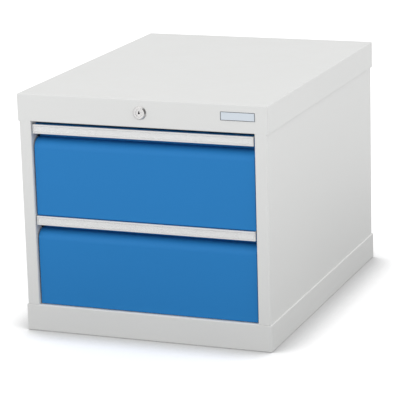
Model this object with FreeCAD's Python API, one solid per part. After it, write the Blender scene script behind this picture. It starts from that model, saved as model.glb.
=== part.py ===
import FreeCAD, Part
import math
import os
from FreeCAD import Vector

# A low steel cabinet with two full-extension drawers, grip strips that hold labels,
# and a central lock that drops a bar in front of a catch on each drawer.
# Millimetres. +X is to the right as seen from the front, +Y to the back, +Z up.
# The origin is the middle of the footprint, on the floor.

# Overall size
overall_width = 555.0
overall_depth = 736.0
overall_height = 519.0
base_height = 59.0
cover_height = 59.0
body_inset = 2.5
stile_width = 29.0

# Sheets and bends
panel_sheet = 1.25
cover_sheet = 1.5
base_sheet = 1.5
front_sheet = 1.2
tray_sheet = 1.25
upright_sheet = 1.5
rail_sheet = 1.8
bend = 1.0
pressed_bend = 0.0

# Cabinet
stile_return = 32.0
stile_lip = 12.0
back_flange = 20.0
rail_return = 24.0
rail_lip = 10.0
base_flange = 45.0
base_window_radius = 6.0
pan_edge = 6.0
pan_overlap = 13.5
upright_width = 30.0
upright_foot = 12.0
front_upright_y = 95.0
rear_upright_y = 520.0
upright_top_gap = 8.0
slot_pitch = 48.0
slot_width = 4.0
slot_height = 16.0

# Drawer fronts and grips
front_gap = 1.0
side_gap = 3.0
front_recess = 6.5
pocket_depth = 35.5
finger_opening = 12.0
shoulder_radius = 21.0
front_hem = 8.0
front_side_flange = 14.0
rail_gap = 6.5
parting_drop = 4.0
grip_recess = 2.0
grip_height = 19.5
grip_head_depth = 4.5
grip_shelf_depth = 14.0
grip_wall = 1.5
grip_lip_cover = 2.8
channel_lap = 1.0
channel_lip = 0.8
channel_depth = 0.9
cap_thickness = 2.0
label_thickness = 0.3
cover_strip_thickness = 0.45
strip_play = 0.05
shelf_play = 0.05

# Drawer trays
slide_space = 19.5
tray_length = 601.0
tray_top_drop = 5.0
tray_lift = 5.5
tray_rim = 10.0
tray_rim_lip = 6.0
inner_front_rim = 12.0
inner_front_lip = 8.0
divider_sheet = 1.0
divider_inset = 12.0
divider_pitch = 51.0
divider_slot_width = 4.0
divider_slot_height = 16.0
divider_rows = (40.0, 118.0)
stud_radius = 2.5
stud_play = 0.1
stud_length = 7.0
front_nut_flats = 8.0
front_nut_height = 4.0
stud_inset = 49.0

# Telescopic slides: distances from the rail plane inwards, and up from the rail's middle
rail_length = 600.0
rail_rise = 50.0
rail_clear = 0.6
ball_radius = 2.2
race_play = 0.3
outer_ball_in = 10.5
outer_ball_up = 21.0
inner_ball_in = 13.0
inner_ball_up = 14.2
race_lip = 0.8
middle_back_in = 5.0
cage_sheet = 1.0
cage_back_in = 2.8
cage_length = 250.0
cage_start = 170.0
ball_pitch = 110.0
pockets_in_row = 3
pocket_play = 0.15
rail_lip_lean = 60.0
rail_lip_length = 1.8
buffer_length = 12.0
buffer_gap = 0.5

# Lock
lock_proud = 4.0
lock_drop = 28.0
lock_head_radius = 14.5
lock_head_edge = 0.8
lock_face_radius = 11.7
lock_barrel_radius = 9.25
lock_barrel_flat = 16.0
lock_barrel_length = 24.0
lock_hole_play = 0.2
plug_radius = 7.5
plug_play = 0.05
plug_inset = 0.4
key_eye_radius = 2.1
key_slot_width = 2.2
key_slot_top = 4.6
key_depth = 9.0
tenon = 7.0
tenon_play = 0.05
nut_flats = 25.0
nut_height = 5.0
nut_play = 0.1
cam_sheet = 2.5
cam_gap = 0.5
cam_hub_radius = 9.0
cam_pin_radius = 2.0
cam_screw_radius = 4.6
lock_throw = 10.0
slide_y = 33.0
slide_sheet = 2.5
slide_bar_height = 16.0
slide_end_height = 26.0
slide_end_length = 27.0
slide_slot_play = 0.4
bar_wall_gap = 11.75
bar_y = 44.0
bar_width = 20.0
bar_sheet = 2.5
bar_bottom = 150.0
bar_pin_in = 7.0
bar_pin_radius = 2.0
bar_slot_play = 0.15
guide_sheet = 4.0
guide_play = 0.4
slide_guide_inset = 60.0
slide_guide_gap = 65.0
bar_guide_up = 14.0
bar_guide_down = 28.0
catch_rise = 100.0
catch_height = 24.0
catch_reach = 15.5
catch_length = 30.0
catch_sheet = 2.5
catch_y = 66.0
finger_thickness = 4.0
finger_lift = 1.0
finger_gap = 0.8
finger_reach = 26.0

# Name plate
plate_width = 74.0
plate_height = 18.0
plate_thickness = 0.8
plate_rim = 1.0
plate_rim_height = 0.4
plate_inset = 27.0
plate_drop = 33.7

# Places worked out from the sizes above
half_width = overall_width / 2
front_y = (lock_proud - overall_depth) / 2
back_y = front_y + overall_depth
body_half = half_width - body_inset
body_back_y = back_y - body_inset
opening_half = half_width - stile_width
cover_bottom = overall_height - cover_height
tray_half = opening_half - slide_space
front_back_y = front_y + pocket_depth + front_sheet
tray_front_y = front_back_y + tray_sheet
rail_front_y = tray_front_y + rail_clear
race_radius = ball_radius + race_play
parting_z = (base_height + cover_bottom) / 2 - parting_drop
lower_grip_z = parting_z - front_gap / 2 - grip_height
upper_grip_z = cover_bottom - rail_gap - grip_height
front_flange_up = grip_height - front_sheet
grip_half = opening_half - side_gap
grip_inner_half = grip_half - cap_thickness
lock_z = overall_height - lock_drop
cam_pin_reach = lock_throw / math.sqrt(2)
cam_y = front_y + lock_barrel_length + cam_gap
cam_back_y = cam_y + cam_sheet
slide_front_y = front_y + slide_y
slide_middle_z = lock_z - cam_pin_reach / math.sqrt(2) - 1.0
bar_x = body_half - panel_sheet - bar_wall_gap
bar_pin_x = -bar_x + bar_pin_in
bar_pin_z = lock_z + 1.0

# name: height of the front's lower edge, height of the grip's lower edge
drawers = {
    "lower": (base_height + front_gap, lower_grip_z),
    "upper": (parting_z + front_gap / 2, upper_grip_z),
}


def corner_arc(before, corner, after, radius):
    into = (corner - before).normalize()
    out = (after - corner).normalize()
    half_turn = into.getAngle(out) / 2
    reach = radius * math.tan(half_turn)
    towards = (out - into).normalize()
    centre = corner + towards * (radius / math.cos(half_turn))
    return corner - into * reach, centre - towards * radius, corner + out * reach


# Straight runs with an arc at each corner that has a radius
def rounded_edges(points, radii, closed):
    count = len(points)
    stops = []
    for i in range(count):
        if radii[i] > 0:
            stops.append(corner_arc(points[i - 1], points[i], points[(i + 1) % count], radii[i]))
        else:
            stops.append((points[i], None, points[i]))
    edges = []
    for i in range(count):
        first, middle, last = stops[i]
        if middle is not None:
            edges.append(Part.Arc(first, middle, last).toShape())
        following = stops[(i + 1) % count][0]
        if (closed or i < count - 1) and last.distanceToPoint(following) > 1e-6:
            edges.append(Part.LineSegment(last, following).toShape())
    return edges


# A closed outline from (u, v) or (u, v, radius) corners
def outline(corners):
    points = [Vector(corner[0], corner[1], 0) for corner in corners]
    radii = [corner[2] if len(corner) > 2 else 0 for corner in corners]
    return Part.Face(Part.Wire(rounded_edges(points, radii, True)))


# The section of a bent sheet. The corners follow one face of the sheet, and the metal lies
# to their left. bends holds the inner radius of each bend, or one radius for all of them.
def sheet_section(corners, thickness, bends=bend):
    points = [Vector(u, v, 0) for u, v in corners]
    inner = len(points) - 2
    if not isinstance(bends, (list, tuple)):
        bends = [bends] * inner
    headings = [(points[i + 1] - points[i]).normalize() for i in range(len(points) - 1)]
    lefts = [Vector(-heading.y, heading.x, 0) for heading in headings]
    near_radii = [0]
    far_radii = [0]
    far_points = [points[0] + lefts[0] * thickness]
    for i in range(inner):
        turns_left = headings[i].cross(headings[i + 1]).z > 0
        near_radii.append(bends[i] + (thickness if turns_left else 0))
        far_radii.append(bends[i] + (0 if turns_left else thickness))
        mitre = (lefts[i] + lefts[i + 1]) * (thickness / (1 + lefts[i].dot(lefts[i + 1])))
        far_points.append(points[i + 1] + mitre)
    far_points.append(points[-1] + lefts[-1] * thickness)
    near_radii.append(0)
    far_radii.append(0)
    edges = rounded_edges(points, near_radii, False)
    edges.append(Part.LineSegment(points[-1], far_points[-1]).toShape())
    edges += rounded_edges(far_points[::-1], far_radii[::-1], False)
    edges.append(Part.LineSegment(far_points[0], points[0]).toShape())
    return Part.Face(Part.Wire(edges))


# Sections are drawn flat: (y, z) for a piece that runs along X, (x, z) along Y, (x, y) along Z
def along_x(section, start, stop):
    solid = section.extrude(Vector(0, 0, stop - start))
    turn = FreeCAD.Rotation(Vector(0, 1, 0), Vector(0, 0, 1), Vector(1, 0, 0), "XYZ")
    solid.Placement = FreeCAD.Placement(Vector(start, 0, 0), turn)
    return solid


def along_y(section, start, stop):
    solid = section.extrude(Vector(0, 0, start - stop))
    turn = FreeCAD.Rotation(Vector(1, 0, 0), Vector(0, 0, 1), Vector(0, -1, 0), "XYZ")
    solid.Placement = FreeCAD.Placement(Vector(0, start, 0), turn)
    return solid


def along_z(section, start, stop):
    solid = section.extrude(Vector(0, 0, stop - start))
    solid.translate(Vector(0, 0, start))
    return solid


def block(low, high):
    size = Vector(*high) - Vector(*low)
    return Part.makeBox(size.x, size.y, size.z, Vector(*low))


def cylinder_y(radius, x, z, start, stop):
    return Part.makeCylinder(radius, stop - start, Vector(x, start, z), Vector(0, 1, 0))


def joined(pieces):
    return pieces[0].multiFuse(pieces[1:]).removeSplitter()


def mirrored(shape):
    return shape.mirror(Vector(0, 0, 0), Vector(1, 0, 0))


# A slot of a given width with round ends, from one centre to another, drawn as (x, z)
def round_slot(start, stop, width):
    first = Vector(start[0], start[1], 0)
    last = Vector(stop[0], stop[1], 0)
    side = (last - first).normalize().cross(Vector(0, 0, 1)) * (width / 2)
    nose = (last - first).normalize() * (width / 2)
    edges = [
        Part.LineSegment(first + side, last + side).toShape(),
        Part.Arc(last + side, last + nose, last - side).toShape(),
        Part.LineSegment(last - side, first - side).toShape(),
        Part.Arc(first - side, first - nose, first + side).toShape(),
    ]
    return Part.Face(Part.Wire(edges))


# A block folded from sheet: the edges round its top, or round top and bottom, are bends
# that meet in a mitre at each corner
def folded_block(inset, low_z, high_z, radius, round_bottom):
    left = inset - half_width
    front = front_y + inset
    rear = back_y - inset
    low_radius = radius if round_bottom else 0
    lengthwise = outline([(front, low_z, low_radius), (front, high_z, radius),
                          (rear, high_z, radius), (rear, low_z, low_radius)])
    crosswise = outline([(left, low_z, low_radius), (left, high_z, radius),
                         (-left, high_z, radius), (-left, low_z, low_radius)])
    return along_x(lengthwise, left, -left).common(along_y(crosswise, front, rear))


def top_cover():
    outer = folded_block(0, cover_bottom, overall_height, bend + cover_sheet, False)
    inner = folded_block(cover_sheet, cover_bottom - 10, overall_height - cover_sheet, bend, False)
    shell = outer.cut(inner)
    # the front apron turns back under itself as the upper rail of the opening
    fold_height = 8.0
    fold = sheet_section([
        (front_y, cover_bottom + fold_height),
        (front_y, cover_bottom),
        (front_y + rail_return, cover_bottom),
        (front_y + rail_return, cover_bottom + rail_lip),
    ], cover_sheet)
    window = block((-opening_half, front_y - 1, cover_bottom - 1),
                   (opening_half, front_y + cover_sheet, cover_bottom + fold_height))
    shell = joined([shell.cut(window), along_x(fold, -opening_half, opening_half)])
    hole = cylinder_y(lock_barrel_radius + lock_hole_play, 0, lock_z, front_y - 1, front_y + 5)
    flat = lock_barrel_flat / 2 + lock_hole_play
    keep = block((-flat, front_y - 2, lock_z - lock_head_radius), (flat, front_y + 6, lock_z + lock_head_radius))
    return shell.cut(hole.common(keep))


# The side wall, with the stile folded from its front edge and a flange at its back
def side_panel():
    flange_y = body_back_y - panel_sheet
    section = sheet_section([
        (-body_half + back_flange, flange_y),
        (-body_half, flange_y),
        (-body_half, front_y),
        (-opening_half, front_y),
        (-opening_half, front_y + stile_return),
        (-opening_half - stile_lip, front_y + stile_return),
    ], panel_sheet)
    wall = along_z(section, base_height, overall_height - cover_sheet)
    # above the opening the stile makes room for the cover's apron and its fold
    clear_y = front_y + stile_return + 4.0
    notch = block((-half_width, front_y - 1, cover_bottom),
                  (-opening_half + 1, clear_y, overall_height))
    return wall.cut(notch)


def back_panel():
    edge = body_half - bend - panel_sheet
    return block((-edge, body_back_y - panel_sheet, base_height),
                 (edge, body_back_y, overall_height - cover_sheet))


# A ring of folded sheet: upright faces with a flange turned in at the top and at the bottom
def base_plinth():
    outer = folded_block(0, 0, base_height, bend + base_sheet, True)
    inner = folded_block(base_sheet, base_sheet, base_height - base_sheet, bend, True)
    ring = outer.cut(inner)
    half = half_width - base_flange
    window = outline([
        (-half, front_y + base_flange, base_window_radius),
        (half, front_y + base_flange, base_window_radius),
        (half, back_y - base_flange, base_window_radius),
        (-half, back_y - base_flange, base_window_radius),
    ])
    return ring.cut(along_z(window, -1, base_height + 1))


def bottom_pan():
    half = half_width - base_flange + pan_overlap
    section = sheet_section([
        (-half, base_height + pan_edge),
        (-half, base_height),
        (half, base_height),
        (half, base_height + pan_edge),
    ], panel_sheet)
    start = tray_front_y + 1.0
    return along_y(section, start, body_back_y - 3 * panel_sheet)


# A hat-shaped post on the side wall, with slots that take the hooks of the slides
def upright(offset):
    wall = body_half - panel_sheet - upright_sheet
    y = front_y + offset
    section = sheet_section([
        (-wall, y - upright_foot),
        (-wall, y),
        (-opening_half, y),
        (-opening_half, y + upright_width),
        (-wall, y + upright_width),
        (-wall, y + upright_width + upright_foot),
    ], upright_sheet, pressed_bend)
    top = cover_bottom - upright_top_gap
    post = along_z(section, base_height, top)
    slots = []
    z = base_height + slot_pitch / 2
    middle = y + upright_width / 2
    while z + slot_height < top:
        slots.append(block((-opening_half - upright_sheet - 1, middle - slot_width / 2, z),
                           (-opening_half + 1, middle + slot_width / 2, z + slot_height)))
        z += slot_pitch
    return post.cut(Part.makeCompound(slots))


# The drawer's outside front: skirt, round shoulder, finger pocket, and a flange in the grip
def drawer_front(low_z, grip_z):
    face_y = front_y + front_recess
    pocket_y = front_y + pocket_depth
    shoulder_z = grip_z - finger_opening
    flange_z = grip_z + front_flange_up
    flange_y = front_y + grip_recess + grip_head_depth + shelf_play
    section = sheet_section([
        (flange_y, flange_z),
        (pocket_y, flange_z),
        (pocket_y, shoulder_z),
        (face_y, shoulder_z),
        (face_y, low_z),
        (front_back_y, low_z),
        (front_back_y, low_z + front_hem),
    ], front_sheet, [bend, bend, shoulder_radius - front_sheet, bend, bend])
    half = grip_half
    skin = along_x(section, -half, half)
    # the flange stops short of the grip's end caps
    flange_half = grip_inner_half - strip_play
    cap_back_y = front_y + grip_recess + grip_shelf_depth + 1.0
    for inner, outer in ((-half - 1, -flange_half), (flange_half, half + 1)):
        skin = skin.cut(block((inner, flange_y - 1, flange_z - 1), (outer, cap_back_y, flange_z + 3)))
    flange_top = shoulder_z - shoulder_radius
    flange_low = low_z + front_sheet
    flanges = []
    for inner, outer in ((-half, -half + front_sheet), (half - front_sheet, half)):
        flanges.append(block((inner, face_y + front_sheet / 2, flange_low),
                             (outer, face_y + front_side_flange, flange_top)))
    return joined([skin] + flanges)


# The inside front that carries the outside one and closes the tray
def inner_front(low_z, grip_z):
    top = grip_z + front_flange_up + front_sheet
    section = sheet_section([
        (tray_front_y + inner_front_rim, top - inner_front_lip),
        (tray_front_y + inner_front_rim, top),
        (front_back_y, top),
        (front_back_y, low_z + tray_lift),
    ], tray_sheet)
    wall = along_x(section, -grip_half, grip_half)
    return wall.cut(Part.makeCompound(front_studs(grip_z, stud_radius + stud_play)))


def tray(low_z, grip_z):
    inside = tray_half - tray_sheet
    floor = low_z + tray_lift
    top = grip_z - tray_top_drop
    rim = tray_half + tray_rim
    section = sheet_section([
        (rim, top - tray_rim_lip),
        (rim, top),
        (inside, top),
        (inside, floor + tray_sheet),
        (-inside, floor + tray_sheet),
        (-inside, top),
        (-rim, top),
        (-rim, top - tray_rim_lip),
    ], tray_sheet)
    rear = tray_front_y + tray_length
    trough = along_y(section, tray_front_y, rear)
    wall = sheet_section([
        (rear + tray_rim - tray_sheet, top - tray_rim_lip),
        (rear + tray_rim - tray_sheet, top),
        (rear - tray_sheet, top),
        (rear - tray_sheet, floor + tray_sheet / 2),
    ], tray_sheet)
    # the back wall's rim stays inside the side rims
    corner = block((-inside - tray_sheet / 2, rear - 2 * tray_sheet, floor),
                   (inside + tray_sheet / 2, rear + tray_rim, top))
    back = along_x(wall, -inside - tray_sheet / 2, inside + tray_sheet / 2).common(corner)
    return joined([trough, back])


# A strip on the inside of the left wall, with two rows of slots that hold dividers
def divider_strip(low_z, grip_z):
    floor = low_z + tray_lift
    wall = -tray_half + tray_sheet
    start = tray_front_y + divider_inset
    stop = tray_front_y + tray_length - divider_inset
    strip = block((wall, start, floor + divider_inset),
                  (wall + divider_sheet, stop, grip_z - tray_top_drop - tray_sheet - bend))
    columns = int((stop - start) // divider_pitch)
    first = (start + stop - (columns - 1) * divider_pitch - divider_slot_width) / 2
    slots = []
    for i in range(columns):
        y = first + i * divider_pitch
        for row in divider_rows:
            slots.append(block((wall - 1, y, floor + row),
                               (wall + divider_sheet + 1, y + divider_slot_width,
                                floor + row + divider_slot_height)))
    return strip.cut(Part.makeCompound(slots))


# Studs welded to the back of the outside front
def front_studs(grip_z, radius):
    z = grip_z - finger_opening / 2
    studs = []
    spread = tray_half - stud_inset
    for x in (-spread, spread):
        studs.append(cylinder_y(radius, x, z, front_back_y, front_back_y + stud_length))
    return studs


# A hexagon with two sides level, drawn as (x, z)
def hexagon(flats, z):
    reach = flats / 2 / math.cos(math.pi / 6)
    corners = []
    for i in range(6):
        angle = math.radians(60 * i)
        corners.append((reach * math.cos(angle), z + reach * math.sin(angle)))
    return outline(corners)


# Each stud with the nut that holds the inside front against the outside one
def front_fixings(grip_z):
    z = grip_z - finger_opening / 2
    fixings = []
    for stud in front_studs(grip_z, stud_radius):
        nut = along_y(hexagon(front_nut_flats, z), tray_front_y, tray_front_y + front_nut_height)
        nut.translate(Vector(stud.CenterOfMass.x, 0, 0))
        fixings.append(joined([stud, nut]))
    return fixings


# The extruded grip: label channel in front, finger bead below, shelf for the front's flange
def grip_section(grip_z):
    y = front_y + grip_recess
    z = grip_z
    deep = channel_lip + channel_depth
    back = y + deep + grip_wall
    top = z + grip_height
    shelf = z + front_flange_up - shelf_play
    tip = y + grip_shelf_depth
    lap = channel_lap
    return outline([
        (y, z, 0.8),
        (y, z + grip_lip_cover),
        (y + channel_lip, z + grip_lip_cover),
        (y + channel_lip, z + grip_lip_cover - lap),
        (y + deep, z + grip_lip_cover - lap),
        (y + deep, top - grip_lip_cover + lap),
        (y + channel_lip, top - grip_lip_cover + lap),
        (y + channel_lip, top - grip_lip_cover),
        (y, top - grip_lip_cover),
        (y, top, 1.0),
        (y + grip_head_depth, top),
        (y + grip_head_depth, shelf),
        (tip, shelf),
        (tip, shelf - grip_wall, 0.6),
        (back, shelf - grip_wall, 2.0),
        (back, z + 4.5, 1.0),
        (back + 1.6, z + 3.2, 0.8),
        (back + 1.6, z, 1.4),
    ])


def grip(grip_z):
    return along_x(grip_section(grip_z), -grip_inner_half, grip_inner_half)


def grip_caps(grip_z):
    y = front_y + grip_recess
    back = y + channel_lip + channel_depth + grip_wall
    top = grip_z + grip_height
    web = grip_z + front_flange_up - shelf_play - grip_wall
    section = outline([
        (y, grip_z, 0.8),
        (y, top, 1.0),
        (y + grip_shelf_depth, top, 0.5),
        (y + grip_shelf_depth, web, 0.5),
        (back, web, 2.0),
        (back + 1.6, grip_z + 3.2, 0.8),
        (back + 1.6, grip_z, 1.4),
    ])
    return [along_x(section, -grip_half, -grip_inner_half), along_x(section, grip_inner_half, grip_half)]


# A strip that slides into the grip's channel, from one distance behind its lips to another
def channel_strip(grip_z, start, stop):
    y = front_y + grip_recess + channel_lip
    half = grip_inner_half - strip_play
    low = grip_z + grip_lip_cover - channel_lap + strip_play
    high = grip_z + grip_height - grip_lip_cover + channel_lap - strip_play
    return block((-half, y + start, low), (half, y + stop, high))


def label(grip_z):
    return channel_strip(grip_z, channel_depth - label_thickness, channel_depth)


def label_cover(grip_z):
    return channel_strip(grip_z, strip_play, strip_play + cover_strip_thickness)


# Rail sections are drawn for the left side, with u inwards from the rail plane and v up
def rail_piece(corners, thickness, bends, z, start, length):
    placed = [(u - opening_half, v + z) for u, v in corners]
    return along_y(sheet_section(placed, thickness, bends), start, start + length)


def cabinet_rail(z):
    lip = outer_ball_in + race_radius
    race = outer_ball_up + race_radius
    return rail_piece([
        (lip, -outer_ball_up + race_lip),
        (lip, -race),
        (rail_sheet, -race),
        (rail_sheet, race),
        (lip, race),
        (lip, outer_ball_up - race_lip),
    ], rail_sheet, [race_radius, pressed_bend, pressed_bend, race_radius], z, rail_front_y,
        rail_length + buffer_gap + buffer_length)


def middle_rail(z):
    lip = inner_ball_in + race_radius
    race = inner_ball_up + race_radius
    back = middle_back_in + rail_sheet
    return rail_piece([
        (lip, -inner_ball_up + race_lip),
        (lip, -race),
        (back, -race),
        (back, race),
        (lip, race),
        (lip, inner_ball_up - race_lip),
    ], rail_sheet, [race_radius, pressed_bend, pressed_bend, race_radius], z, rail_front_y, rail_length)


# Its lips lean back round the balls, clear of the cage
def drawer_rail(z):
    lean = math.radians(rail_lip_lean)
    race = inner_ball_up - race_radius
    foot = inner_ball_in - race_radius * math.tan(lean / 2)
    tip = foot - rail_lip_length * math.cos(lean)
    tip_up = race + rail_lip_length * math.sin(lean)
    return rail_piece([
        (tip, -tip_up),
        (foot, -race),
        (slide_space, -race),
        (slide_space, race),
        (foot, race),
        (tip, tip_up),
    ], rail_sheet, [race_radius, pressed_bend, pressed_bend, race_radius], z, rail_front_y, rail_length)


# A ball cage: a channel whose legs pass the balls at their widest, with a punched pocket for each
def ball_cage(z, back_in, ball_in, ball_up, tip):
    half = cage_sheet / 2
    start = rail_front_y + cage_start
    cage = rail_piece([
        (tip, ball_up + half),
        (back_in, ball_up + half),
        (back_in, -ball_up - half),
        (tip, -ball_up - half),
    ], cage_sheet, pressed_bend, z, start, cage_length)
    middle = start + cage_length / 2
    reach = ball_radius + pocket_play
    pockets = []
    for i in range(pockets_in_row):
        y = middle + (i - (pockets_in_row - 1) / 2) * ball_pitch
        for up in (-ball_up, ball_up):
            x = ball_in - opening_half
            pockets.append(block((x - reach, y - reach, z + up - cage_sheet),
                                 (x + reach, y + reach, z + up + cage_sheet)))
    return cage.cut(Part.makeCompound(pockets))


def outer_cage(z):
    tip = outer_ball_in + race_radius - 0.5
    return ball_cage(z, cage_back_in, outer_ball_in, outer_ball_up, tip)


def inner_cage(z):
    tip = inner_ball_in + race_radius - 0.5
    back_in = middle_back_in + rail_sheet + 0.6
    return ball_cage(z, back_in, inner_ball_in, inner_ball_up, tip)


# Rubber stops at the back of each cabinet rail, where the middle rail comes to rest
def rail_buffers(heights):
    rear = rail_front_y + rail_length
    low_in = rail_sheet
    high_in = middle_back_in + rail_sheet + 4
    half = inner_ball_up - 4
    stops = []
    for z in heights:
        section = outline([
            (low_in - opening_half, z - half, 0),
            (low_in - opening_half, z + half, 0),
            (high_in - opening_half, z + half, 2),
            (high_in - opening_half, z - half, 2),
        ])
        stop = along_y(section, rear + buffer_gap, rear + buffer_gap + buffer_length)
        stops += [stop, mirrored(stop)]
    return stops


def lock_housing():
    bore = plug_radius + plug_play
    y = front_y
    section = outline([
        (bore, y - lock_proud),
        (lock_face_radius, y - lock_proud),
        (lock_head_radius, y - lock_head_edge),
        (lock_head_radius, y),
        (lock_barrel_radius, y),
        (lock_barrel_radius, y + lock_barrel_length),
        (bore, y + lock_barrel_length),
    ])
    housing = section.revolve(Vector(0, 0, 0), Vector(0, 1, 0), 360)
    flat = lock_barrel_flat / 2
    far = lock_barrel_radius + 5
    for low, high in ((-far, -flat), (flat, far)):
        housing = housing.cut(block((low, y, -far), (high, y + lock_barrel_length + 1, far)))
    housing.translate(Vector(0, 0, lock_z))
    return housing


def lock_nut():
    start = front_y + cover_sheet
    nut = along_y(hexagon(nut_flats, lock_z), start, start + nut_height)
    return nut.cut(cylinder_y(lock_barrel_radius + nut_play, 0, lock_z, start - 1, start + nut_height + 1))


# The plug turns in the housing; its key slot is upright when the drawers are free
def lock_plug():
    face = front_y - lock_proud + plug_inset
    rear = front_y + lock_barrel_length + cam_gap
    plug = cylinder_y(plug_radius, 0, lock_z, face, rear)
    half = tenon / 2
    square = block((-half, rear - 1, lock_z - half), (half, rear + cam_sheet, lock_z + half))
    slot_end = lock_z + key_slot_top - key_slot_width / 2
    slot = along_y(round_slot((0, lock_z), (0, slot_end), key_slot_width), face - 1, face + key_depth)
    eye = cylinder_y(key_eye_radius, 0, lock_z, face - 1, face + key_depth)
    return joined([plug, square]).cut(slot.fuse(eye))


# The cam's pin starts low on the right and swings to low on the left
def lock_cam():
    pin_x = cam_pin_reach / math.sqrt(2)
    pin_z = lock_z - cam_pin_reach / math.sqrt(2)
    hub = cylinder_y(cam_hub_radius, 0, lock_z, cam_y, cam_back_y)
    eye = cylinder_y(cam_pin_radius + 2.5, pin_x, pin_z, cam_y, cam_back_y)
    pin = cylinder_y(cam_pin_radius, pin_x, pin_z, cam_y + 0.5, slide_front_y + slide_sheet + 1.5)
    half = tenon / 2 + tenon_play
    hole = block((-half, cam_y - 1, lock_z - half), (half, cam_back_y + 1, lock_z + half))
    return joined([hub, eye, pin]).cut(hole)


def cam_screw():
    return cylinder_y(cam_screw_radius, 0, lock_z, cam_back_y, cam_back_y + 1.8)


# The flat bar behind the upper rail: an upright slot for the cam's pin, a slanted one
# at its left end that lowers the lock bar's pin as the flat bar moves left
def lock_slide():
    pin_x = cam_pin_reach / math.sqrt(2)
    right = pin_x + 9
    low = slide_middle_z - slide_bar_height / 2
    high = slide_middle_z + slide_bar_height / 2
    end_right = bar_pin_x - 7 + slide_end_length
    end_low = slide_middle_z - slide_end_height / 2
    end_high = slide_middle_z + slide_end_height / 2 + 2
    left = bar_pin_x - 7
    shape = along_y(outline([
        (right, low, 3),
        (right, high, 3),
        (end_right + 8, high, 3),
        (end_right, end_high, 3),
        (left, end_high, 3),
        (left, end_low, 3),
        (end_right, end_low, 3),
        (end_right + 8, low, 3),
    ]), slide_front_y, slide_front_y + slide_sheet)
    reach = cam_pin_radius + slide_slot_play
    cam_top = lock_z - cam_pin_reach / math.sqrt(2)
    cam_low = lock_z - cam_pin_reach
    upright_slot = round_slot((pin_x, cam_low), (pin_x, cam_top), 2 * reach)
    slanted = round_slot((bar_pin_x, bar_pin_z), (bar_pin_x + lock_throw, bar_pin_z - lock_throw),
                         2 * (bar_pin_radius + bar_slot_play))
    for slot in (upright_slot, slanted):
        shape = shape.cut(along_y(slot, slide_front_y - 1, slide_front_y + slide_sheet + 1))
    return shape


# Two hangers under the cover that the flat bar runs through
def slide_guides():
    play = guide_play
    hangers = []
    for x in (-slide_guide_inset, bar_pin_x + slide_guide_gap):
        section = outline([
            (slide_front_y - 4, overall_height - cover_sheet),
            (slide_front_y - 4, slide_middle_z - slide_bar_height / 2 - 5, 2),
            (slide_front_y + slide_sheet + 4, slide_middle_z - slide_bar_height / 2 - 5, 2),
            (slide_front_y + slide_sheet + 4, overall_height - cover_sheet),
        ])
        hanger = along_x(section, x - guide_sheet / 2, x + guide_sheet / 2)
        window = block((x - guide_sheet, slide_front_y - play, slide_middle_z - slide_bar_height / 2 - play),
                       (x + guide_sheet, slide_front_y + slide_sheet + play,
                        slide_middle_z + slide_bar_height / 2 + play))
        hangers.append(hanger.cut(window))
    return hangers


def catch_top(low_z):
    return low_z + tray_lift + catch_rise + catch_height


# The upright bar beside the drawers, with a finger for each drawer and a pin at its top
def lock_bar():
    start = front_y + bar_y
    top = bar_pin_z + 6
    strip = block((-bar_x, start, bar_bottom), (-bar_x + bar_sheet, start + bar_width, top))
    lug = block((-bar_x, start, bar_pin_z - 6), (bar_pin_x + 4, start + 5, top))
    pin = cylinder_y(bar_pin_radius, bar_pin_x, bar_pin_z, slide_front_y - 1.5, start + 1)
    pieces = [strip, lug, pin]
    finger_back = front_y + catch_y - finger_gap
    for low_z, grip_z in drawers.values():
        low = catch_top(low_z) + finger_lift
        finger = along_y(outline([
            (-bar_x, low),
            (-bar_x + finger_reach, low, 1.5),
            (-bar_x + finger_reach, low + finger_thickness, 1.5),
            (-bar_x + 8, low + finger_thickness, 3),
            (-bar_x + 3, low + finger_thickness + 10),
            (-bar_x, low + finger_thickness + 10),
        ]), finger_back - finger_thickness, finger_back)
        pieces.append(finger)
    return joined(pieces)


# Three brackets on the left side wall that the lock bar runs through
def bar_guides():
    wall = body_half - panel_sheet
    start = front_y + bar_y
    brackets = []
    low = bar_bottom + bar_guide_up
    high = cover_bottom - bar_guide_down
    for z in (low, 0.6 * low + 0.4 * high, high):
        shape = block((-wall, start - 5, z), (-bar_x + bar_sheet + 4, start + bar_width + 5, z + guide_sheet))
        hole = block((-bar_x - guide_play, start - guide_play, z - 1),
                     (-bar_x + bar_sheet + guide_play, start + bar_width + guide_play, z + guide_sheet + 1))
        brackets.append(shape.cut(hole))
    return brackets


# The catch on the tray's left side: a tab that the finger drops in front of
def catch(low_z):
    top = catch_top(low_z)
    low = top - catch_height
    y = front_y + catch_y
    section = sheet_section([
        (-tray_half - catch_reach, y),
        (-tray_half, y),
        (-tray_half, y + catch_length),
    ], catch_sheet)
    return along_z(section, low, top)


def name_plate():
    plate_right = half_width - plate_inset
    plate_z = overall_height - plate_drop
    left = plate_right - plate_width
    y = front_y - plate_thickness
    body = along_y(outline([
        (left, plate_z, 1),
        (left, plate_z + plate_height, 1),
        (plate_right, plate_z + plate_height, 1),
        (plate_right, plate_z, 1),
    ]), y, front_y)
    field = block((left + plate_rim, y - 1, plate_z + plate_rim),
                  (plate_right - plate_rim, y + plate_rim_height, plate_z + plate_height - plate_rim))
    return body.cut(field)


def save(name, shape):
    solids = shape if isinstance(shape, list) else [shape]
    shape = Part.makeCompound(solids) if len(solids) > 1 else solids[0]
    shape.exportStep("parts/" + name + ".step")


# A left piece and its mirror image, as two nodes
def save_pair(name, left):
    save(name + "_left", left)
    save(name + "_right", mirrored(left))


# A left piece and its mirror image that always move together, as one node
def save_both(name, left):
    save(name, [left, mirrored(left)])


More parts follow.
